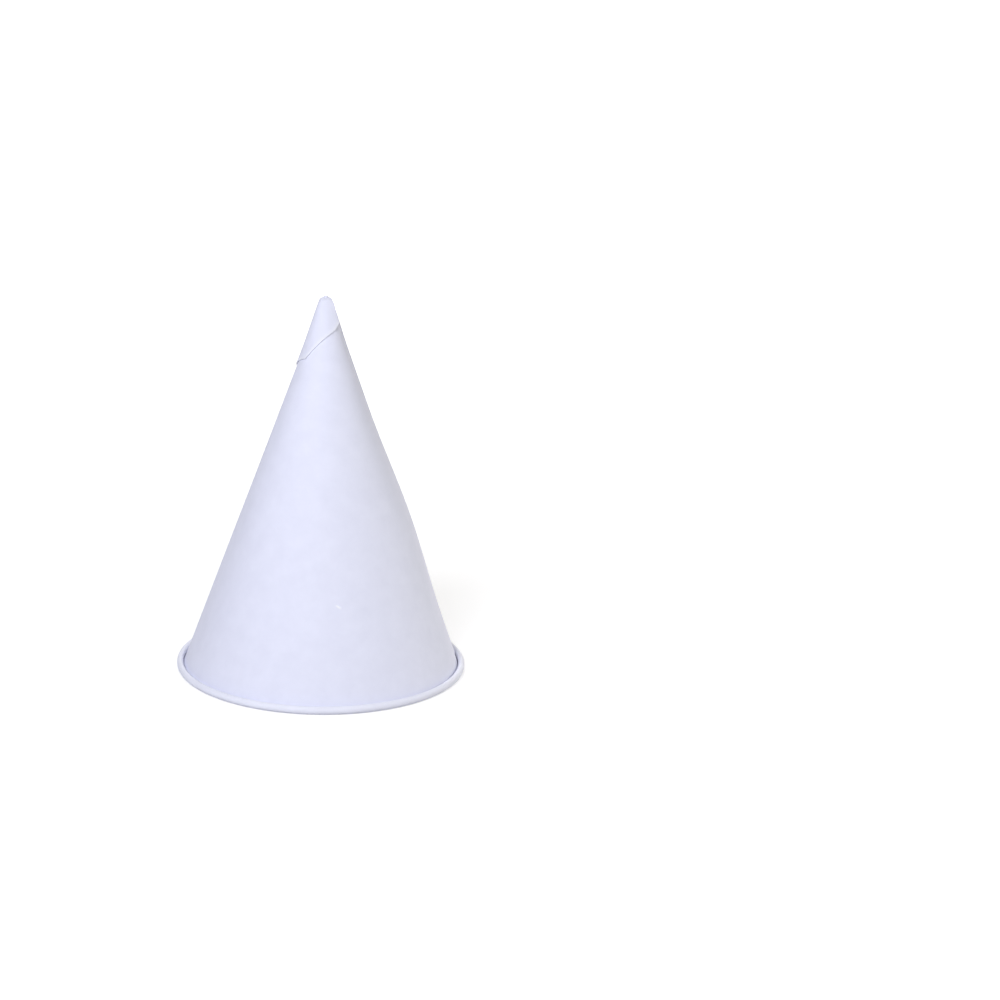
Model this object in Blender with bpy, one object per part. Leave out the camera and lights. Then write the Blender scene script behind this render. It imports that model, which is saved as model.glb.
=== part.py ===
# Cone paper cup with a rolled rim, standing mouth down with its point up.
#
# One sheet of paper is wound into a cone and glued where it laps over its own first edge.
# The last turn wraps round the point and closes it. It begins with a last edge that runs down
# from the top at the right, and its lower side is two straight cuts that miss the point: past a
# clipped corner, the short cut slants down across the front, and from the left the long cut runs
# down the back and reaches the mouth beside the first edge. At the top, the round end of the
# inner turns shows in the middle of the last turn.
# The mouth's margin is rolled outwards into a hollow bead, and the cup stands on that bead.
#
# The origin is at the middle of the mouth, on the surface that the bead stands on. +Z is up,
# and -Y is the side that the picture shows. A "turn" is an angle round the cup from the
# sheet's first edge, clockwise seen from above, and a "slant" is a distance down the wall
# from the sharp point in which its outer face would end.

import bpy
import bmesh
from math import acos, asin, atan2, cos, hypot, pi, radians, sin, sqrt, tan

MM = 0.001

# Overall size
rim_radius = 35.0 * MM
cup_height = 92.4 * MM
paper = 0.3 * MM

# Rolled rim: the radius of the bead, the slit between it and the wall, the flat that it stands
# on, the wall's clear height above the bead, and where the roll tightens and ends
curl_radius = 1.0 * MM
curl_slit = 0.15 * MM
stand_flat = 0.5 * MM
curl_foot = 0.6 * MM
curl_tighten_start = radians(190.0)
curl_tighten_end = radians(345.0)
curl_end = radians(445.0)

# Point: how far it stops short of a sharp cone, how much fatter the wound turns are, the round
# end of the inner turns that shows above the last turn, and the round end of the hollow inside
tip_short = 1.4 * MM
tip_swell = 0.35 * MM
tip_swell_length = 16.0 * MM
plug_radius = 0.7 * MM
plug_rise = 0.45 * MM
plug_round = 0.3 * MM
hollow_round = 0.7 * MM

# Straight cuts of the sheet: how far each one passes from the point when the sheet is flat,
# and the turns at which the short cut, and the clipped corner at its upper end, come nearest
short_cut_distance = 8.3 * MM
short_cut_nearest = radians(-29.0)
corner_cut_distance = 5.7 * MM
corner_cut_nearest = radians(-98.0)
long_cut_distance = 16.1 * MM

# Lap: the sides where the first and last edges lie, how far the last turn covers the first edge
# at the mouth, and the slants between which the step that it leaves inside grows to full depth
first_edge_side = radians(13.6)
last_edge_side = radians(-21.5)
lap_width = 13.0 * MM
inner_step_start = 12.0 * MM
inner_step_full = 24.0 * MM

# Soft swell of the wall beside the stiff lap, where the cup isn't quite round
belly_rise = 1.0 * MM
belly_height = 38.0 * MM
belly_length = 27.0 * MM
belly_side = radians(15.0)
belly_spread = radians(65.0)

# How finely the round forms are divided
sections = 72
wall_shares = (0.03, 0.08, 0.15, 0.25, 0.37, 0.50, 0.63, 0.76, 0.89)
tip_steps = 4
swell_steps = 4
roll_step = radians(24.0)
smooth_angle = radians(32.0)
merge_share = 0.01

paper_colour = (0.80, 0.81, 0.90, 1.0)
paper_roughness = 0.55


class Cone:
    """The cone that the wall's outer face lies on, and the bead that the wall runs into."""

    def __init__(self):
        self.bead_height = sqrt(curl_radius ** 2 - (stand_flat / 2) ** 2)
        self.bead_place = rim_radius - curl_radius
        self.point = cup_height + tip_short
        reach = hypot(self.bead_place, self.point - self.bead_height)
        lean = atan2(self.bead_place, self.point - self.bead_height)
        self.half_angle = lean - asin((curl_radius - paper) / reach)
        self.length = reach * cos(asin((curl_radius - paper) / reach))
        self.foot = self.length - curl_radius - curl_foot

    def wall(self, slant, lift):
        """Place on the wall at a distance from the sharp point, lifted off its outer face."""
        radius = slant * sin(self.half_angle) + lift * cos(self.half_angle)
        height = self.point - slant * cos(self.half_angle) + lift * sin(self.half_angle)
        return radius, height

    def slant(self, height, lift):
        """Slant at which the wall, lifted off its outer face, is at a height."""
        return (self.point - height + lift * sin(self.half_angle)) / cos(self.half_angle)

    def roll(self, turn, radius):
        """Place in the rolled bead, a turn along from the wall's inner face and under the mouth."""
        angle = pi + self.half_angle + turn
        return self.bead_place + radius * cos(angle), self.bead_height + radius * sin(angle)


def ease(share):
    """Rise smoothly from 0 to 1."""
    share = min(max(share, 0.0), 1.0)
    return share * share * (3.0 - 2.0 * share)


def between(start, end, share):
    return start + (end - start) * share


def tip_profile(cone, above):
    """Blunt point, from its middle out: the end of the inner turns, and the paper round it.

    above is the lift of that paper's outer face: one paper's thickness where the last turn lies.
    """
    places = []
    for step in range(tip_steps + 1):
        angle = pi / 2 * step / tip_steps
        places.append((plug_radius * sin(angle), cup_height - plug_round * (1.0 - cos(angle))))
    shoulder = cup_height - plug_rise
    sharp = cone.point + (tip_swell + paper) / sin(cone.half_angle)
    sweep = pi / 2 - cone.half_angle
    shoulder_round = ((sharp - shoulder) * tan(cone.half_angle) - plug_radius) / tan(sweep / 2)
    bend = shoulder_round - paper + above
    for step in range(tip_steps + 1):
        angle = sweep * step / tip_steps
        height = shoulder - shoulder_round + bend * cos(angle)
        places.append((plug_radius + bend * sin(angle), height))
    return places


def hollow_profile(cone):
    """Round end of the hollow inside, from its middle out to the wall's inner face."""
    centre = cone.point - (paper + hollow_round) / sin(cone.half_angle)
    places = []
    for step in range(tip_steps + 1):
        angle = (pi / 2 - cone.half_angle) * step / tip_steps
        places.append((hollow_round * sin(angle), centre + hollow_round * cos(angle)))
    return places


def curl_skin(turn):
    """Radius of the roll's skin: it tightens towards the wall, so that its end tucks inside."""
    tucked = curl_radius - paper - curl_slit
    share = (turn - curl_tighten_start) / (curl_tighten_end - curl_tighten_start)
    return between(curl_radius, tucked, ease(share))


def curl_profile(cone):
    """Rolled margin: its skin from the wall to the tucked end, then its back to the wall."""
    flat_middle = pi / 2 - cone.half_angle
    flat_half = asin(stand_flat / 2 / curl_radius)
    turns = arc_turns(0.0, flat_middle - flat_half) + arc_turns(flat_middle + flat_half, curl_end)
    skin = [cone.roll(turn, curl_skin(turn)) for turn in turns]
    back = [cone.roll(turn, curl_skin(turn) - paper) for turn in reversed(turns)]
    return skin + back


def arc_turns(start, end):
    steps = max(1, round((end - start) / roll_step))
    return [between(start, end, step / steps) for step in range(steps + 1)]


def lap_turn(cone):
    """Turn at which the long cut reaches the foot of the wall, and the lap starts."""
    return 2 * pi - lap_width / cone.wall(cone.foot, 0.0)[0]


def cut_slant(cone, turn):
    """Slant of the last turn's cut edge: straight lines on the flat sheet, wound on the cone."""
    flatten = sin(cone.half_angle)
    long_cut = acos(long_cut_distance / cone.foot) - (lap_turn(cone) - turn) * flatten
    slants = [long_cut_distance / cos(long_cut)]
    for distance, nearest in (
        (short_cut_distance, short_cut_nearest),
        (corner_cut_distance, corner_cut_nearest),
    ):
        away = (turn - nearest) * flatten
        if away < pi / 2:
            slants.append(distance / cos(away))
    return min(slants)


class Layer:
    """How the sheet lies at one radial section.

    cut is the slant of its cut edge, above and below are the extra lift of the outer face on
    the two sides of that edge, and step is the depth of the step inside.
    """

    def __init__(self, turn, cut, above=0.0, below=0.0, step=0.0):
        self.turn = turn
        self.cut = cut
        self.above = above
        self.below = below
        self.step = step


def turns_between(start, end):
    """Turns of the radial sections from one edge to the next, both included."""
    steps = max(1, round(sections * (end - start) / (2 * pi)))
    return [between(start, end, step / steps) for step in range(steps + 1)]


def layers(cone):
    """One layer for each radial section, all the way round, and two where an edge stands up."""
    start = lap_turn(cone)
    last_edge = first_edge_side - last_edge_side
    # The first section is the far side of the first edge, where the sheet comes down again
    found = [Layer(0.0, cut_slant(cone, 0.0), above=paper, below=paper, step=paper)]
    for turn in turns_between(0.0, last_edge)[1:]:
        found.append(Layer(turn, cut_slant(cone, turn)))
    for turn in turns_between(last_edge, start):
        found.append(Layer(turn, cut_slant(cone, turn), above=paper))
    for turn in turns_between(start, 2 * pi)[1:]:
        share = (turn - start) / (2 * pi - start)
        cut = between(cone.foot, cut_slant(cone, 0.0), share)
        found.append(Layer(turn, cut, above=paper, below=paper))
    return found


def belly(height, side):
    """Outward lean of the wall where the cup isn't quite round."""
    along = 1.0 - ease(abs(height - belly_height) / belly_length)
    away = abs((side - belly_side + pi) % (2 * pi) - pi)
    return belly_rise * along * (1.0 - ease(away / belly_spread))


def section(cone, layer, curl):
    """Closed outline of the paper at one turn: outside, rolled rim, inside."""
    tip = tip_profile(cone, layer.above)
    tip_slant = cone.slant(tip[-1][1], tip_swell + layer.above)
    places = list(tip)

    def outer(slant, lift):
        swell = tip_swell * (1.0 - ease((slant - tip_slant) / (tip_swell_length - tip_slant)))
        return cone.wall(slant, swell + lift)

    near = min(layer.cut, tip_swell_length)
    for index in range(1, swell_steps):
        places.append(outer(between(tip_slant, near, index / swell_steps), layer.above))
    places.append(outer(layer.cut, layer.above))
    places.append(outer(layer.cut, layer.below))
    for share in wall_shares:
        places.append(outer(between(layer.cut, cone.foot, share), layer.below))
    places.append(outer(cone.foot, layer.below))
    # The roll's back is the wall's outer face turned over, so the outline goes down it to the
    # tucked end and comes back along the roll's skin to the inside of the cup
    places.extend(reversed(curl))
    hollow = hollow_profile(cone)
    hollow_slant = cone.slant(hollow[-1][1], -paper)
    for share in reversed(wall_shares):
        slant = between(hollow_slant, cone.length - curl_radius, share)
        grown = ease((slant - inner_step_start) / (inner_step_full - inner_step_start))
        places.append(cone.wall(slant, layer.step * grown - paper))
    places.extend(reversed(hollow))
    return places


def loft(name, outlines):
    """Skin the radial outlines, which all have as many points, into one closed mesh."""
    mesh = bpy.data.meshes.new(name)
    shape = bmesh.new()
    rings = [[shape.verts.new(place) for place in outline] for outline in outlines]
    for ring, following in zip(rings, rings[1:] + rings[:1]):
        for index in range(len(ring) - 1):
            shape.faces.new((ring[index], ring[index + 1], following[index + 1], following[index]))
    merge = paper * merge_share
    bmesh.ops.remove_doubles(shape, verts=shape.verts, dist=merge)
    bmesh.ops.dissolve_degenerate(shape, edges=shape.edges, dist=merge)
    bmesh.ops.recalc_face_normals(shape, faces=shape.faces)
    shape.to_mesh(mesh)
    shape.free()
    return mesh


def paper_material():
    material = bpy.data.materials.new("White paper")
    material.use_nodes = True
    surface = material.node_tree.nodes["Principled BSDF"]
    surface.inputs["Base Color"].default_value = paper_colour
    surface.inputs["Roughness"].default_value = paper_roughness
    surface.inputs["Metallic"].default_value = 0.0
    return material


def make_cup(collection):
    cone = Cone()
    curl = curl_profile(cone)
    outlines = []
    for layer in layers(cone):
        side = first_edge_side - layer.turn
        outline = []
        for radius, height in section(cone, layer, curl):
            away = radius + belly(height, side)
            outline.append((away * cos(side), away * sin(side), height))
        outlines.append(outline)
    mesh = loft("cup", outlines)
    mesh.materials.append(paper_material())
    mesh.shade_smooth()
    mesh.set_sharp_from_angle(angle=smooth_angle)
    cup = bpy.data.objects.new("cup", mesh)
    collection.objects.link(cup)
    return cup


def main():
    for item in list(bpy.data.objects):
        bpy.data.objects.remove(item)
    collection = bpy.data.collections.new("Cone paper cup")
    bpy.context.scene.collection.children.link(collection)
    make_cup(collection)


main()
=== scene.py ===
"""White cone paper cup, standing mouth down on its rolled rim.

The cup is made as the real one is: a flat blank is cut with straight cuts, wound into a cone,
lapped, wrapped round its own point and rolled outwards at the mouth.
"""

from math import acos, asin, atan2, cos, exp, hypot, pi, radians, sin, sqrt, tan

import bmesh
import bpy
from bpy.props import FloatProperty, FloatVectorProperty, IntProperty, PointerProperty
from mathutils import Matrix, Vector, noise


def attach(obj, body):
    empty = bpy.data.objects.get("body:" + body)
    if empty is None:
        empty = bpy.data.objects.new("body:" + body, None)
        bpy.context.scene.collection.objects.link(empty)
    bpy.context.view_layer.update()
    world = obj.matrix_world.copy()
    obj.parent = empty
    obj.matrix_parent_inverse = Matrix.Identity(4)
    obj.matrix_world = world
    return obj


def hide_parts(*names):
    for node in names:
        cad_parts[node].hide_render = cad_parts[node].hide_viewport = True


bl_info = {
    "name": "Cone paper cup",
    "version": (1, 0, 0),
    "blender": (4, 5, 0),
    "location": "3D View > Sidebar > Paper cup",
    "description": "Cuts, winds and rolls a cone paper cup from a flat blank",
    "category": "Add Mesh",
}

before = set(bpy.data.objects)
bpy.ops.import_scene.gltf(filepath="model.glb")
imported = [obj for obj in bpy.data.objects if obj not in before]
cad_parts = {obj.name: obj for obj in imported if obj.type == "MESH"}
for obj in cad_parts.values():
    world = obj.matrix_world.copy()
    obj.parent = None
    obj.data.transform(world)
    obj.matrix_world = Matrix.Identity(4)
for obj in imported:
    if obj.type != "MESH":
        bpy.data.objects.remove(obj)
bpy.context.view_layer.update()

MM = 0.001
BODY = "root"
# Share of the whiter colour: bare fibres by cut edges, painted highlight on the roll and nick
BARE_FIBRE_AND_HIGHLIGHT = "bare_fibre_and_highlight"

# Distance from one row of the blank to the next: round the point, below it, down the wall and
# in the rolled margin
TIP_STEP = 0.15 * MM
SWELL_STEP = 0.8 * MM
WALL_STEP = 3.0 * MM
ROLL_STEP = 0.18 * MM

# Areas round the nick that get finer faces, one inside the other, and the cuts in each edge
NICK_REACHES = (3.2 * MM, 1.3 * MM)
NICK_CUTS = 3

# Round end of the inner turns: its sides and the steps of its rounded top
PLUG_SIDES = 48
PLUG_STEPS = 8

# Points nearer than this are one point, on the spun blank and along its cuts
SPUN_GAP = 0.002 * MM
CUT_GAP = 0.01 * MM

# A turn this near to 0 counts as 0, and a flat angle this far below 0 still counts as such
TURN_ROUNDING = 1e-5
ANGLE_MARGIN = 0.1

# The cuts reach this little way past the last turn, so that they meet the single wall
CUT_OVERRUN = radians(0.5)

# Painted highlight on the roll, as a share of the whiter colour, and bare fibres beside cut edges
ROLL_HIGHLIGHT = 0.3
CUT_BARE = 0.4

# Edges that are sharper than this stay sharp
WALL_SMOOTH = radians(32.0)
PLUG_SMOOTH = radians(50.0)

# Floor: its width, how far it lies below the roll, the distances from the cup between which
# its glow fills in, in metres, and the strength of the glow there
FLOOR_WIDTH = 8.0
FLOOR_GAP = 0.02 * MM
GLOW_START, GLOW_END = 0.06, 0.5
GLOW_NEAR, GLOW_FAR = 0.55, 1.0

# Place that the lamps are aimed at, inside the cup
LAMP_AIM = (0.0, 0.0, 0.04)


def paint(hex_colour):
    """Linear colour with full alpha from an sRGB hex value."""
    linear = []
    for at in (1, 3, 5):
        part = int(hex_colour[at:at + 2], 16) / 255
        linear.append(part / 12.92 if part <= 0.04045 else ((part + 0.055) / 1.055) ** 2.4)
    return (*linear, 1.0)


def ease(share):
    """Rise smoothly from 0 to 1."""
    share = min(max(share, 0.0), 1.0)
    return share * share * (3.0 - 2.0 * share)


def between(start, end, share):
    return start + (end - start) * share


def size(name, description, default):
    return FloatProperty(
        name=name, description=description, default=default, min=0.0, unit="LENGTH", precision=5
    )


def arc(name, description, degrees):
    return FloatProperty(
        name=name, description=description, default=radians(degrees), subtype="ANGLE"
    )


def colour(name, description, hex_colour):
    return FloatVectorProperty(
        name=name, description=description, default=paint(hex_colour), size=4,
        min=0.0, max=1.0, subtype="COLOR",
    )


def power(name, description, default):
    return FloatProperty(name=name, description=description, default=default, min=0.0, precision=3)


class CupSheet(bpy.types.PropertyGroup):
    """Sizes of the cup and of the blank that it is wound from."""

    rim_radius: size("Rim radius", "Outer radius of the rolled rim", 35.0 * MM)
    height: size("Height", "From the mouth to the top of the point", 92.4 * MM)
    paper: size("Paper", "Thickness of the paper", 0.3 * MM)
    glue: size("Glue gap", "What the glue leaves between two layers of paper", 0.02 * MM)

    curl_radius: size("Roll radius", "Radius of the rolled rim", 1.0 * MM)
    roll_tall: FloatProperty(
        name="Roll tallness", description="How far the roll's upper half is drawn up", default=1.2,
        min=1.0,
    )
    curl_slit: size("Roll slit", "Slit between the tucked end and its roll", 0.15 * MM)
    stand_flat: size("Flat", "Width of the flat that the roll stands on", 0.5 * MM)
    curl_foot: size("Foot", "Clear wall above the roll", 0.6 * MM)
    tighten_start: arc("Tighten from", "Where the roll starts to tighten", 190.0)
    tighten_end: arc("Tighten to", "Where the roll is fully tight", 345.0)
    curl_end: arc("Roll end", "How far round the roll runs", 445.0)

    tip_short: size("Point short", "How far the point stops short of a sharp cone", 1.4 * MM)
    tip_swell: size("Point swell", "How much fatter the wound turns are at the point", 0.35 * MM)
    swell_length: size("Swell length", "How far down the swell reaches", 16.0 * MM)
    plug_radius: size("Plug radius", "Round end of the inner turns in the point", 0.7 * MM)
    plug_rise: size("Plug rise", "How far that end stands above the last turn", 0.45 * MM)
    plug_round: size("Plug round", "Height of its rounded top", 0.3 * MM)

    short_cut: size("Short cut", "How far the short cut passes from the point", 8.3 * MM)
    short_nearest: arc("Short cut turn", "Turn at which it comes nearest", -29.0)
    corner_cut: size("Clipped corner", "How far the clipped corner passes", 5.7 * MM)
    corner_nearest: arc("Clipped corner turn", "Turn at which it comes nearest", -98.0)
    long_cut: size("Long cut", "How far the long cut passes from the point", 16.1 * MM)

    first_edge: arc("First edge", "Side of the cup where the inner edge lies", 13.6)
    last_edge: arc("Last edge", "Side where the outer edge runs down from the top", -27.0)
    lap_width: size("Lap", "How far the last turn covers the first edge at the mouth", 13.0 * MM)
    lap_fall: arc("Lap fall", "Turn in which the sheet comes down off the first edge", 5.0)
    edge_spring: size("Edge spring", "How far the cut edge stands off the wall", 0.02 * MM)
    corner_spring: size("Corner spring", "How much further its corners stand off", 0.02 * MM)
    spring_width: size("Spring width", "How far in from the edge it stands off", 1.5 * MM)
    unwind: size("Unwinding", "How far the last edge has unwound from the point", 0.45 * MM)
    unwind_reach: arc("Unwinding reach", "Last part of the turn that has unwound", 45.0)
    unwind_fade: size("Unwinding fade", "How far below the point it sets in", 2.0 * MM)

    nick_slant: size("Nick place", "Distance of the nick from the point", 74.65 * MM)
    nick_side: arc("Nick side", "Side of the cup with the nick", -77.5)
    nick_lean: arc("Nick lean", "How far the nick runs down to the right", 32.0)
    nick_length: size("Nick length", "Length of the nick", 1.7 * MM)
    nick_width: size("Nick width", "Half the width of the nick", 0.2 * MM)
    nick_depth: size("Nick depth", "How far the nick is pressed in", 0.13 * MM)

    belly_rise: size("Belly", "How far the wall swells beside the stiff lap", 1.0 * MM)
    belly_height: size("Belly height", "Height of the fullest place", 38.0 * MM)
    belly_length: size("Belly length", "Reach of the swell up and down", 27.0 * MM)
    belly_side: arc("Belly side", "Side of the fullest place", 15.0)
    belly_spread: arc("Belly spread", "Reach of the swell round the cup", 65.0)
    wave: size("Waves", "Depth of the paper's soft unevenness", 0.07 * MM)
    wave_length: size("Wave length", "Distance from one soft wave to the next", 16.0 * MM)

    round_steps: IntProperty(
        name="Round steps", description="Divisions of one whole turn", default=240, min=24
    )


class CupPaper(bpy.types.PropertyGroup):
    """Colours of the paper."""

    white: colour("Paper", "Bright side of the paper's cloudy white", "#E9EBFA")
    shade: colour("Paper clouds", "Slightly thinner places in the paper", "#DFE1F1")
    # Whiter colour of bare fibres by cut edges, also painted highlight on the roll and the nick
    bare_and_highlight: colour("Bare fibres", "Colour of the face where it is stretched or broken", "#FAFBFF")


class CupStage(bpy.types.PropertyGroup):
    """Floor, light and camera."""

    floor: colour("Floor", "Colour of the floor", "#CDCDD0")
    sky: colour("Surroundings", "Colour of the light from all round", "#FFFBF2")
    sky_strength: power("Surroundings strength", "Strength of the light from all round", 0.21)
    main_tint: colour("Main lamp tint", "Colour of the main lamp", "#F4F6FF")
    main_watts: power("Main lamp", "Power of the soft lamp at the front left", 3.45)
    side_tint: colour("Side lamp tint", "Colour of the lamps at the right and back", "#FFFDF7")
    front_watts: power("Front lamp", "Power of the soft lamp at the front right", 1.0)
    side_watts: power("Side lamp", "Power of the soft lamp at the right", 1.9)
    low_watts: power("Low lamp", "Power of the small low lamp at the right", 0.023)
    back_watts: power("Back lamp", "Power of the soft lamp behind the cup", 4.2)
    camera_x: size("Camera X", "Place of the camera", 42.46 * MM)
    camera_back: size("Camera back", "Distance of the camera in front of the cup", 717.13 * MM)
    camera_height: size("Camera height", "Height of the camera", 259.82 * MM)
    camera_down: arc("Camera down", "How far the camera looks down", 16.794)
    camera_roll: arc("Camera roll", "How far the camera leans to one side", 1.716)
    lens: FloatProperty(name="Lens", description="Focal length in mm", default=112.28, min=1.0)


class ConeCup(bpy.types.PropertyGroup):
    """All settings of the cup and its stage."""

    sheet: PointerProperty(type=CupSheet)
    paper: PointerProperty(type=CupPaper)
    stage: PointerProperty(type=CupStage)


# --- The cup's form -------------------------------------------------------------------------


class Winding:
    """Where each place of the flat blank goes when the blank is wound into the cup.

    A slant is a distance from the point, the same on the flat blank and on the cone. A turn
    is the angle round the cup from the first, inner edge, clockwise from above. The single
    wall has turns from 0 to a whole turn, and the last, outer turn has turns below 0.
    """

    def __init__(self, sheet):
        self.sheet = sheet
        self.bead_height = sqrt(sheet.curl_radius ** 2 - (sheet.stand_flat / 2) ** 2)
        self.bead_place = sheet.rim_radius - sheet.curl_radius
        self.point = sheet.height + sheet.tip_short
        reach = hypot(self.bead_place, self.point - self.bead_height)
        lean = asin((sheet.curl_radius - sheet.paper) / reach)
        self.half_angle = atan2(self.bead_place, self.point - self.bead_height) - lean
        self.length = reach * cos(lean)
        self.foot = self.length - sheet.curl_radius - sheet.curl_foot
        self.sine = sin(self.half_angle)
        self.cosine = cos(self.half_angle)
        self.sweep = pi / 2 - self.half_angle
        self.shoulder = sheet.height - sheet.plug_rise
        sharp = self.point + (sheet.tip_swell + sheet.paper) / self.sine
        corner = (sharp - self.shoulder) * tan(self.half_angle)
        self.bend = (corner - sheet.plug_radius) / tan(self.sweep / 2)
        end = self.shoulder - self.bend * (1.0 - self.sine)
        lift = sheet.tip_swell + sheet.paper
        self.tip_slant = (self.point - end + lift * self.sine) / self.cosine
        self.top_slant = self.tip_slant - self.bend * self.sweep
        self.lap_turn = 2 * pi - sheet.lap_width / (self.foot * self.sine)
        self.last_edge_turn = sheet.first_edge - sheet.last_edge - 2 * pi

    def flat_angle(self, turn):
        """Angle of a turn on the flat blank, seen from its outer face."""
        return (2 * pi - turn) * self.sine

    def turn_at(self, flat):
        """Turn of a place on the flat blank."""
        angle = (atan2(flat.y, flat.x) + ANGLE_MARGIN) % (2 * pi) - ANGLE_MARGIN
        turn = 2 * pi - angle / self.sine
        return 0.0 if abs(turn) < TURN_ROUNDING else turn

    def cuts(self):
        """Each straight cut: its distance from the point and its direction on the blank."""
        sheet = self.sheet
        long_nearest = self.lap_turn - acos(sheet.long_cut / self.foot) / self.sine
        return [
            (distance, self.flat_angle(nearest - 2 * pi))
            for distance, nearest in (
                (sheet.short_cut, sheet.short_nearest),
                (sheet.corner_cut, sheet.corner_nearest),
                (sheet.long_cut, long_nearest),
            )
        ]

    def from_cuts(self, slant, turn):
        """Distance from a place on the flat blank to each straight cut."""
        flat = self.flat_angle(turn)
        return [distance - slant * cos(flat - direction) for distance, direction in self.cuts()]

    def layer_lift(self, turn):
        """Lift of the outer face by the layers that lie under it."""
        sheet = self.sheet
        layer = sheet.paper + sheet.glue
        if turn < 0.0:
            return layer + self.layer_lift(turn + 2 * pi)
        return layer * (1.0 - ease(turn / sheet.lap_fall))

    def spring(self, slant, turn):
        """Extra lift where the outer turn's free edge stands a little off the wall."""
        sheet = self.sheet
        if turn >= 0.0:
            return 0.0
        past_last_edge = turn - self.last_edge_turn
        from_last_edge = slant * sin(max(0.0, min(pi / 2, past_last_edge * self.sine)))
        nearest, second = sorted([from_last_edge, *self.from_cuts(slant, turn)])[:2]
        unwound = 1.0 - past_last_edge / sheet.unwind_reach
        below_point = ease((slant - self.top_slant) / sheet.unwind_fade)
        return (
            sheet.edge_spring * (1.0 - ease(nearest / sheet.spring_width))
            + sheet.corner_spring * (1.0 - ease(second / sheet.spring_width))
            + sheet.unwind * below_point * max(0.0, unwound) ** 2
        )

    def in_nick(self, slant, turn):
        """Place along and across the nick in the front of the wall."""
        sheet = self.sheet
        right = (sheet.first_edge - turn - sheet.nick_side) * slant * self.sine
        down = slant - sheet.nick_slant
        return (
            right * cos(sheet.nick_lean) + down * sin(sheet.nick_lean),
            right * sin(sheet.nick_lean) - down * cos(sheet.nick_lean),
        )

    def nick(self, slant, turn, shift=0.0):
        """Depth of the nick as a share of its whole depth."""
        sheet = self.sheet
        along, across = self.in_nick(slant, turn)
        run = 1.0 - (2.0 * along / sheet.nick_length) ** 2
        return max(0.0, run) * exp(-((across + shift) / sheet.nick_width) ** 2)

    def bare_and_highlight(self, slant, turn):
        """Share of whiter colour: painted highlight on roll and nick, bare fibres by cut edges."""
        sheet = self.sheet
        # Painted highlight: the roll is painted whiter than the wall
        if slant > self.length:
            onset = 1.5 * sheet.curl_radius
            return ROLL_HIGHLIGHT * ease((slant - self.length) / onset)
        # Painted highlight on the nick's lower lip, a little below its middle
        below_nick = 0.7 * sheet.nick_width
        nick_highlight = self.nick(slant, turn, below_nick)
        if turn >= 0.0:
            return nick_highlight
        reach = 3.0 * sheet.paper
        from_edge = min(self.from_cuts(slant, turn))
        return max(nick_highlight, CUT_BARE * (1.0 - ease(from_edge / reach)))

    def skin(self, roll):
        """Radius of the roll's skin, which tightens so that its end tucks inside."""
        sheet = self.sheet
        tucked = sheet.curl_radius - sheet.paper - sheet.curl_slit
        share = (roll - sheet.tighten_start) / (sheet.tighten_end - sheet.tighten_start)
        return between(sheet.curl_radius, tucked, ease(share))

    def profile(self, slant, lift):
        """Radius and height of the sheet's outer face."""
        sheet = self.sheet
        if slant < self.tip_slant:
            angle = self.sweep - (self.tip_slant - slant) / self.bend
            bend = self.bend - sheet.paper + lift
            return (
                sheet.plug_radius + bend * sin(angle),
                self.shoulder - self.bend + bend * cos(angle),
            )
        if slant > self.length:
            roll = (slant - self.length) / sheet.curl_radius
            radius = self.skin(roll) - sheet.paper
            angle = pi + self.half_angle + roll
            tall = sheet.roll_tall if sin(angle) > 0.0 else 1.0
            return (
                self.bead_place + radius * cos(angle),
                max(sheet.paper, self.bead_height + radius * sin(angle) * tall),
            )
        share = (slant - self.tip_slant) / (sheet.swell_length - self.tip_slant)
        lift += sheet.tip_swell * (1.0 - ease(share))
        return (
            slant * self.sine + lift * self.cosine,
            self.point - slant * self.cosine + lift * self.sine,
        )

    def uneven(self, side, height):
        """How far the wall stands out of the round: the swell beside the lap, and soft waves."""
        sheet = self.sheet
        along = 1.0 - ease(abs(height - sheet.belly_height) / sheet.belly_length)
        away = abs((side - sheet.belly_side + pi) % (2 * pi) - pi)
        out = sheet.belly_rise * along * (1.0 - ease(away / sheet.belly_spread))
        calm = ease(height / sheet.wave_length) * ease((self.point - height) / sheet.wave_length)
        place = Vector((cos(side), sin(side), 0.0)) * sheet.rim_radius
        # The waves are twice as long up the wall as round it
        place.z = height / 2
        return out + sheet.wave * calm * noise.noise(place / sheet.wave_length)

    def place(self, slant, turn):
        """Place in the cup of a place on the flat blank."""
        lift = self.layer_lift(turn) + self.spring(slant, turn)
        if turn > 0.0:
            lift -= self.sheet.nick_depth * self.nick(slant, turn)
        if slant > self.foot:
            lift *= 1.0 - ease((slant - self.foot) / (self.length - self.foot))
        radius, height = self.profile(slant, lift)
        side = self.sheet.first_edge - turn
        radius += self.uneven(side, height)
        return Vector((radius * cos(side), radius * sin(side), height))

    def rows(self):
        """Slants of the blank's rows, from the point to the end of the rolled margin."""
        sheet = self.sheet
        # The short cut and the clipped corner lie well above this slant
        upper_end = 1.5 * sheet.swell_length
        # The roll's stops: its start, the two sides of the flat that it stands on, and its end
        middle = pi / 2 - self.half_angle
        half = asin(sheet.stand_flat / 2 / sheet.curl_radius)
        stops = [0.0, middle - half, middle + half, sheet.curl_end]
        rows = [self.top_slant]
        for end, step in (
            (self.tip_slant, TIP_STEP),
            (upper_end, SWELL_STEP),
            (self.foot, WALL_STEP),
            *((self.length + sheet.curl_radius * roll, ROLL_STEP) for roll in stops),
        ):
            start = rows[-1]
            count = max(1, round((end - start) / step))
            rows += [between(start, end, index / count) for index in range(1, count + 1)]
        return rows


# --- Modelling ------------------------------------------------------------------------------


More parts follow.
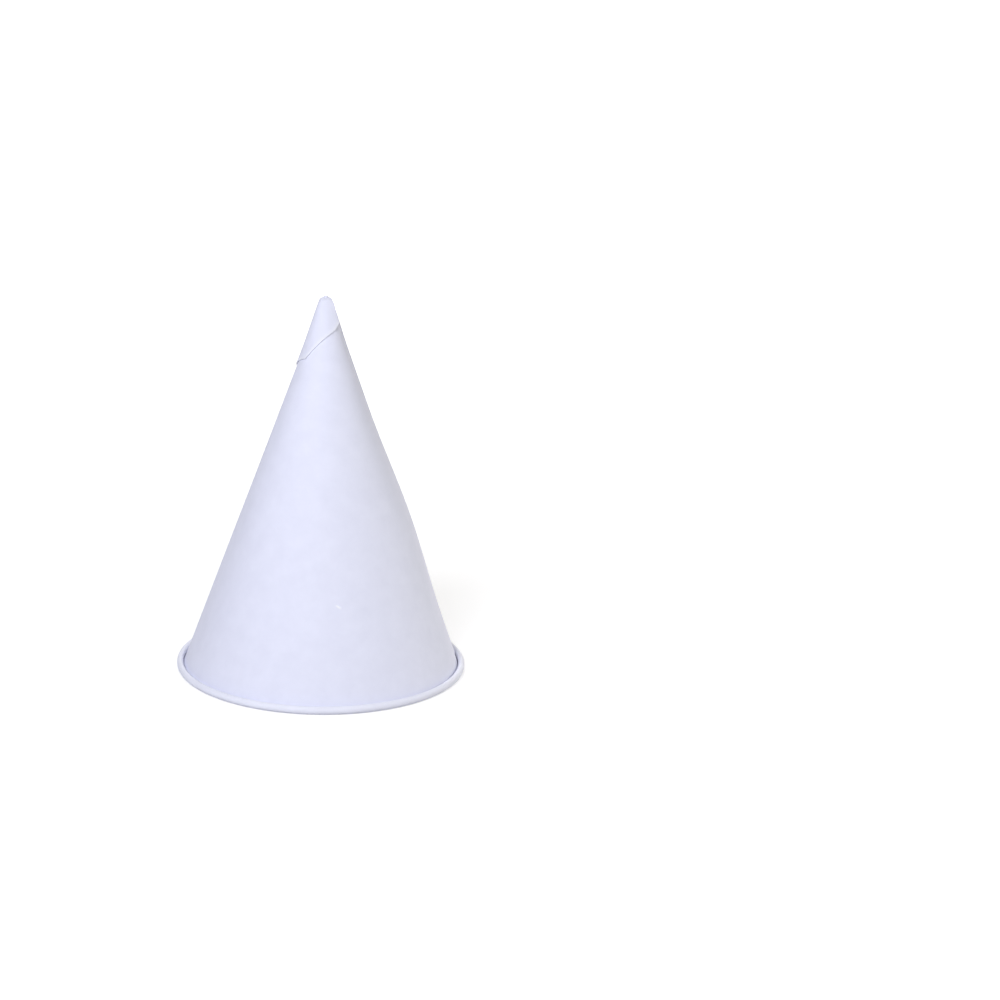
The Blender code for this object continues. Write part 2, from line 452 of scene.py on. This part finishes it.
def start_mesh(name, add, **options):
    """Add a primitive on its own, name it and go into edit mode with all of it selected."""
    bpy.ops.object.select_all(action="DESELECT")
    add(location=(0.0, 0.0, 0.0), **options)
    piece = bpy.context.object
    piece.name = piece.data.name = name
    bpy.ops.object.mode_set(mode="EDIT")
    bpy.ops.mesh.select_mode(type="VERT")
    bpy.ops.mesh.select_all(action="SELECT")
    return piece


def pick(piece, wanted):
    """Select the vertices, in edit mode, whose places are wanted."""
    shape = bmesh.from_edit_mesh(piece.data)
    for vertex in shape.verts:
        vertex.select_set(bool(wanted(vertex.co)) and vertex.select)
    shape.select_flush(False)
    bmesh.update_edit_mesh(piece.data)


def finish_piece(piece, material, smooth):
    """Shade, dress and seat a finished piece."""
    bpy.ops.object.select_all(action="DESELECT")
    piece.select_set(True)
    bpy.context.view_layer.objects.active = piece
    bpy.ops.object.shade_smooth_by_angle(angle=smooth)
    piece.data.materials.clear()
    piece.data.materials.append(material)
    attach(piece, BODY)


def wall_thickness(piece, thickness):
    """Give a surface its thickness, inwards from its face."""
    solid = piece.modifiers.new("Paper thickness", "SOLIDIFY")
    solid.thickness = thickness
    solid.offset = -1.0
    solid.use_even_offset = True
    bpy.ops.object.modifier_apply(modifier=solid.name)


# --- Materials ------------------------------------------------------------------------------


def add_node(tree, kind, settings=None, values=None, links=None):
    """Add a node with its settings, its values and the sockets that feed it."""
    node = tree.nodes.new(kind)
    for name, value in (settings or {}).items():
        setattr(node, name, value)
    for name, value in (values or {}).items():
        node.inputs[name].default_value = value
    for name, source in (links or {}).items():
        tree.links.new(source, node.inputs[name])
    return node


def seen_straight(tree):
    """1 where the camera, a reflection or clear glass looks at the surface, and 0 for its light."""
    path = add_node(tree, "ShaderNodeLightPath")
    total = path.outputs["Is Camera Ray"]
    for ray in ("Is Glossy Ray", "Is Transmission Ray"):
        total = add_node(
            tree, "ShaderNodeMath", settings={"operation": "MAXIMUM"},
            links={0: total, 1: path.outputs[ray]},
        ).outputs["Value"]
    return total


def uncoated_paper(colours):
    """Uncoated white cup paper, machine made and unglazed.

    Brightened pulp gives a cool, faintly blue white. The sheet is matt, and pressed fibres
    leave it cloudy at a few millimetres and felt-like at a few tenths of one.
    """
    name = "Uncoated white paper"
    if name in bpy.data.materials:
        return bpy.data.materials[name]
    material = bpy.data.materials.new(name)
    material.use_nodes = True
    tree = material.node_tree
    surface = tree.nodes["Principled BSDF"]
    place = add_node(tree, "ShaderNodeTexCoord").outputs["Object"]
    # Clouds in the pulp are about 4 mm across
    clouds = add_node(
        tree, "ShaderNodeTexNoise", links={"Vector": place},
        values={"Scale": 1 / (4.0 * MM), "Detail": 3.0, "Roughness": 0.6},
    )
    # Single fibres are finer than the picture shows, so they are drawn about 0.5 mm apart
    fibres = add_node(
        tree, "ShaderNodeTexNoise", links={"Vector": place},
        values={"Scale": 1 / (0.5 * MM), "Detail": 4.0, "Roughness": 0.7},
    )
    cloudy = add_node(
        tree, "ShaderNodeMix", settings={"data_type": "RGBA"},
        values={"A": tuple(colours.shade), "B": tuple(colours.white)},
        links={"Factor": clouds.outputs["Fac"]},
    )
    # Bare fibres below the sizing show whiter by cut edges; on the roll and nick it is painted
    # highlight
    bare_and_highlight_share = add_node(tree, "ShaderNodeAttribute", settings={"attribute_name": BARE_FIBRE_AND_HIGHLIGHT})
    tint = add_node(
        tree, "ShaderNodeMix", settings={"data_type": "RGBA"}, values={"B": tuple(colours.bare_and_highlight)},
        links={"Factor": bare_and_highlight_share.outputs["Fac"], "A": cloudy.outputs["Result"]},
    )
    tree.links.new(tint.outputs["Result"], surface.inputs["Base Color"])
    # The felt is about 0.02 mm deep, and the clouds lie in soft dents of about 0.05 mm
    felt = add_node(
        tree, "ShaderNodeBump", values={"Strength": 0.4, "Distance": 0.02 * MM},
        links={"Height": fibres.outputs["Fac"]},
    )
    soft = add_node(
        tree, "ShaderNodeBump", values={"Strength": 0.3, "Distance": 0.05 * MM},
        links={"Height": clouds.outputs["Fac"], "Normal": felt.outputs["Normal"]},
    )
    tree.links.new(soft.outputs["Normal"], surface.inputs["Normal"])
    surface.inputs["Roughness"].default_value = 0.62
    surface.inputs["Specular IOR Level"].default_value = 0.3
    surface.inputs["IOR"].default_value = 1.45
    return material


# --- Operators ------------------------------------------------------------------------------


class CONECUP_OT_wind_sheet(bpy.types.Operator):
    """Cut the flat blank, wind it into the cup, roll the rim and give it the paper's thickness"""

    bl_idname = "conecup.wind_sheet"
    bl_label = "Wind the sheet"

    def execute(self, context):
        cup = context.scene.cone_cup
        sheet = cup.sheet
        winding = Winding(sheet)
        piece = self.flat_blank(winding)
        self.refine_nick(piece, winding)
        self.cut(piece, winding)
        self.wind(piece, winding)
        wall_thickness(piece, sheet.paper)
        finish_piece(piece, uncoated_paper(cup.paper), WALL_SMOOTH)
        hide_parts("cup")
        return {"FINISHED"}

    def flat_blank(self, winding):
        """A chain of points from the point to the margin, spun flat round the point."""
        # The chain grows from one point, which a plane is merged into
        piece = start_mesh("wound_sheet", bpy.ops.mesh.primitive_plane_add, size=MM)
        bpy.ops.mesh.merge(type="CENTER")
        rows = winding.rows()
        bpy.ops.transform.translate(value=(rows[0], 0.0, 0.0))
        for near, far in zip(rows, rows[1:]):
            bpy.ops.mesh.extrude_vertices_move(
                TRANSFORM_OT_translate={"value": (far - near, 0.0, 0.0)}
            )
        bpy.ops.mesh.select_all(action="SELECT")
        steps = winding.sheet.round_steps
        first = winding.flat_angle(0.0)
        round_point = {"center": (0.0, 0.0, 0.0), "axis": (0.0, 0.0, -1.0)}
        bpy.ops.mesh.spin(steps=steps, angle=first, **round_point)
        # Only the wall goes on into the last turn: the rolled margin meets edge to edge
        pick(piece, lambda place: place.length < winding.foot + winding.sheet.glue)
        last = winding.flat_angle(winding.last_edge_turn) - first
        bpy.ops.mesh.spin(steps=round(steps * last / first), angle=last, **round_point)
        bpy.ops.mesh.select_all(action="SELECT")
        bpy.ops.mesh.remove_doubles(threshold=SPUN_GAP)
        return piece

    def refine_nick(self, piece, winding):
        """Finer faces where the nick comes, finer again close to it."""
        for reach in NICK_REACHES:
            bpy.ops.mesh.select_all(action="SELECT")
            pick(piece, lambda place: max(
                abs(part) for part in winding.in_nick(place.length, winding.turn_at(place))
            ) < reach)
            bpy.ops.mesh.subdivide(number_cuts=NICK_CUTS)

    def cut(self, piece, winding):
        """The straight cuts that shape the end of the last turn."""
        for distance, direction in winding.cuts():
            away = (cos(direction), sin(direction), 0.0)
            bpy.ops.mesh.select_all(action="SELECT")
            pick(piece, lambda place: winding.turn_at(place) < CUT_OVERRUN)
            bpy.ops.mesh.bisect(
                plane_co=tuple(distance * part for part in away), plane_no=away, clear_outer=True,
                threshold=CUT_GAP,
            )
        bpy.ops.mesh.select_all(action="SELECT")
        bpy.ops.mesh.remove_doubles(threshold=CUT_GAP)
        bpy.ops.mesh.normals_make_consistent(inside=False)
        bpy.ops.object.mode_set(mode="OBJECT")
        # The upper face of the flat blank is the cup's outer face
        if sum(face.normal.z for face in piece.data.polygons) < 0.0:
            bpy.ops.object.mode_set(mode="EDIT")
            bpy.ops.mesh.select_all(action="SELECT")
            bpy.ops.mesh.flip_normals()
            bpy.ops.object.mode_set(mode="OBJECT")

    def wind(self, piece, winding):
        """Move each place of the flat blank to where the wound sheet has it."""
        bare_and_highlight_share = piece.data.attributes.new(BARE_FIBRE_AND_HIGHLIGHT, "FLOAT", "POINT")
        for vertex, share in zip(piece.data.vertices, bare_and_highlight_share.data):
            slant, turn = vertex.co.length, winding.turn_at(vertex.co)
            share.value = winding.bare_and_highlight(slant, turn)
            vertex.co = winding.place(slant, turn)
        piece.data.update()


class CONECUP_OT_close_point(bpy.types.Operator):
    """Close the point with the round end of the inner turns"""

    bl_idname = "conecup.close_point"
    bl_label = "Close the point"

    def execute(self, context):
        cup = context.scene.cone_cup
        sheet = cup.sheet
        winding = Winding(sheet)
        # It stands clear of the sheet's top edge by three glue gaps, and starts inside the point
        radius = sheet.plug_radius - 3 * sheet.glue
        low = winding.shoulder - winding.bend - sheet.paper
        waist = winding.shoulder - 3 * sheet.paper
        outline = [(radius, low), (radius, waist)]
        for step in range(PLUG_STEPS):
            angle = pi / 2 * step / PLUG_STEPS
            outline.append((
                radius * cos(angle), sheet.height - sheet.plug_round * (1.0 - sin(angle))
            ))
        piece = start_mesh(
            "point_plug", bpy.ops.mesh.primitive_circle_add, vertices=PLUG_SIDES, radius=radius,
            fill_type="NGON",
        )
        bpy.ops.transform.translate(value=(0.0, 0.0, low))
        for (near, below), (far, above) in zip(outline, outline[1:]):
            bpy.ops.mesh.extrude_region_move(
                TRANSFORM_OT_translate={"value": (0.0, 0.0, above - below)}
            )
            share = far / near
            bpy.ops.transform.resize(value=(share, share, 1.0), center_override=(0.0, 0.0, above))
        bpy.ops.mesh.select_all(action="SELECT")
        bpy.ops.mesh.normals_make_consistent(inside=False)
        bpy.ops.object.mode_set(mode="OBJECT")
        finish_piece(piece, uncoated_paper(cup.paper), PLUG_SMOOTH)
        return {"FINISHED"}


class CONECUP_OT_stage(bpy.types.Operator):
    """Lay the floor, hang the lamps and place the camera"""

    bl_idname = "conecup.stage"
    bl_label = "Set the stage"

    def execute(self, context):
        scene = context.scene
        stage = scene.cone_cup.stage
        self.floor(stage)
        self.lamps(scene, stage)
        self.surroundings(scene, stage)
        self.camera(scene, stage)
        scene.view_settings.view_transform = "Standard"
        return {"FINISHED"}

    def floor(self, stage):
        """White sweep: it keeps the contact shadow, and to the camera it is otherwise white."""
        bpy.ops.object.select_all(action="DESELECT")
        bpy.ops.mesh.primitive_plane_add(size=FLOOR_WIDTH, location=(0.0, 0.0, 0.0))
        floor = bpy.context.object
        floor.name = floor.data.name = "floor"
        floor.data.transform(Matrix.Translation((0.0, 0.0, -FLOOR_GAP)))
        material = bpy.data.materials.new("Matt white floor")
        material.use_nodes = True
        tree = material.node_tree
        surface = tree.nodes["Principled BSDF"]
        surface.inputs["Base Color"].default_value = tuple(stage.floor)
        surface.inputs["Roughness"].default_value = 0.9
        # The glow fills in away from the cup, where the lamps' light falls off
        place = add_node(tree, "ShaderNodeTexCoord").outputs["Object"]
        away = add_node(
            tree, "ShaderNodeVectorMath", settings={"operation": "LENGTH"}, links={0: place}
        )
        filled = add_node(
            tree, "ShaderNodeMapRange", links={"Value": away.outputs["Value"]},
            values={
                "From Min": GLOW_START, "From Max": GLOW_END,
                "To Min": GLOW_NEAR, "To Max": GLOW_FAR,
            },
        )
        glow = add_node(tree, "ShaderNodeEmission", links={"Strength": filled.outputs["Result"]})
        seen = add_node(
            tree, "ShaderNodeAddShader",
            links={0: surface.outputs["BSDF"], 1: glow.outputs["Emission"]},
        )
        mixed = add_node(
            tree, "ShaderNodeMixShader",
            links={0: seen_straight(tree), 1: surface.outputs["BSDF"], 2: seen.outputs["Shader"]},
        )
        tree.links.new(mixed.outputs["Shader"], tree.nodes["Material Output"].inputs["Surface"])
        floor.data.materials.append(material)

    def lamps(self, scene, stage):
        """Round soft lamps, all aimed at the middle of the cup and not seen themselves."""
        for name, watts, tint, wide, place in (
            ("Main lamp", stage.main_watts, stage.main_tint, 0.35, (-0.22, -0.5, 0.45)),
            ("Front lamp", stage.front_watts, stage.side_tint, 0.6, (0.6, -0.8, 0.5)),
            ("Side lamp", stage.side_watts, stage.side_tint, 0.7, (1.0, 0.0, 0.45)),
            ("Low lamp", stage.low_watts, stage.side_tint, 0.08, (0.11, 0.02, 0.02)),
            ("Back lamp", stage.back_watts, stage.side_tint, 0.7, (0.0, 1.0, 0.6)),
        ):
            lamp = bpy.data.lights.new(name, "AREA")
            lamp.shape = "DISK"
            lamp.size = wide
            lamp.energy = watts
            lamp.color = tint[:3]
            holder = bpy.data.objects.new(name, lamp)
            scene.collection.objects.link(holder)
            holder.visible_camera = False
            holder.location = place
            aim = Vector(LAMP_AIM) - holder.location
            holder.rotation_euler = aim.to_track_quat("-Z", "Y").to_euler()

    def surroundings(self, scene, stage):
        """Soft light from all round, which the camera sees as plain white."""
        world = bpy.data.worlds.new("Studio")
        world.use_nodes = True
        scene.world = world
        tree = world.node_tree
        light = tree.nodes["Background"]
        light.inputs["Color"].default_value = tuple(stage.sky)
        light.inputs["Strength"].default_value = stage.sky_strength
        white = add_node(tree, "ShaderNodeBackground", values={"Color": (1.0, 1.0, 1.0, 1.0)})
        mixed = add_node(
            tree, "ShaderNodeMixShader",
            links={
                0: seen_straight(tree), 1: light.outputs["Background"],
                2: white.outputs["Background"],
            },
        )
        tree.links.new(mixed.outputs["Shader"], tree.nodes["World Output"].inputs["Surface"])

    def camera(self, scene, stage):
        """Camera in front of the cup, looking a little down at it."""
        lens = bpy.data.cameras.new("Camera")
        lens.lens = stage.lens
        lens.sensor_width = 36.0
        lens.clip_start = 0.01
        camera = bpy.data.objects.new("Camera", lens)
        scene.collection.objects.link(camera)
        camera.location = (stage.camera_x, -stage.camera_back, stage.camera_height)
        tilt = Matrix.Rotation(pi / 2 - stage.camera_down, 4, "X")
        roll = Matrix.Rotation(stage.camera_roll, 4, "Z")
        camera.rotation_euler = (tilt @ roll).to_euler()
        scene.camera = camera


class CONECUP_PT_panel(bpy.types.Panel):
    """Steps and sizes of the cup"""

    bl_idname = "CONECUP_PT_panel"
    bl_label = "Cone paper cup"
    bl_space_type = "VIEW_3D"
    bl_region_type = "UI"
    bl_category = "Paper cup"

    def draw(self, context):
        layout = self.layout
        for operator in OPERATORS:
            layout.operator(operator.bl_idname)
        cup = context.scene.cone_cup
        for group in (cup.sheet, cup.paper, cup.stage):
            box = layout.box()
            for name in group.__annotations__:
                box.prop(group, name)


GROUPS = (CupSheet, CupPaper, CupStage, ConeCup)
OPERATORS = (CONECUP_OT_wind_sheet, CONECUP_OT_close_point, CONECUP_OT_stage)
CLASSES = (*GROUPS, *OPERATORS, CONECUP_PT_panel)


def register():
    for kind in CLASSES:
        bpy.utils.register_class(kind)
    bpy.types.Scene.cone_cup = PointerProperty(type=ConeCup)


def unregister():
    del bpy.types.Scene.cone_cup
    for kind in reversed(CLASSES):
        bpy.utils.unregister_class(kind)


def main():
    register()
    bpy.ops.conecup.wind_sheet()
    bpy.ops.conecup.close_point()
    bpy.ops.conecup.stage()


if __name__ == "__main__":
    main()
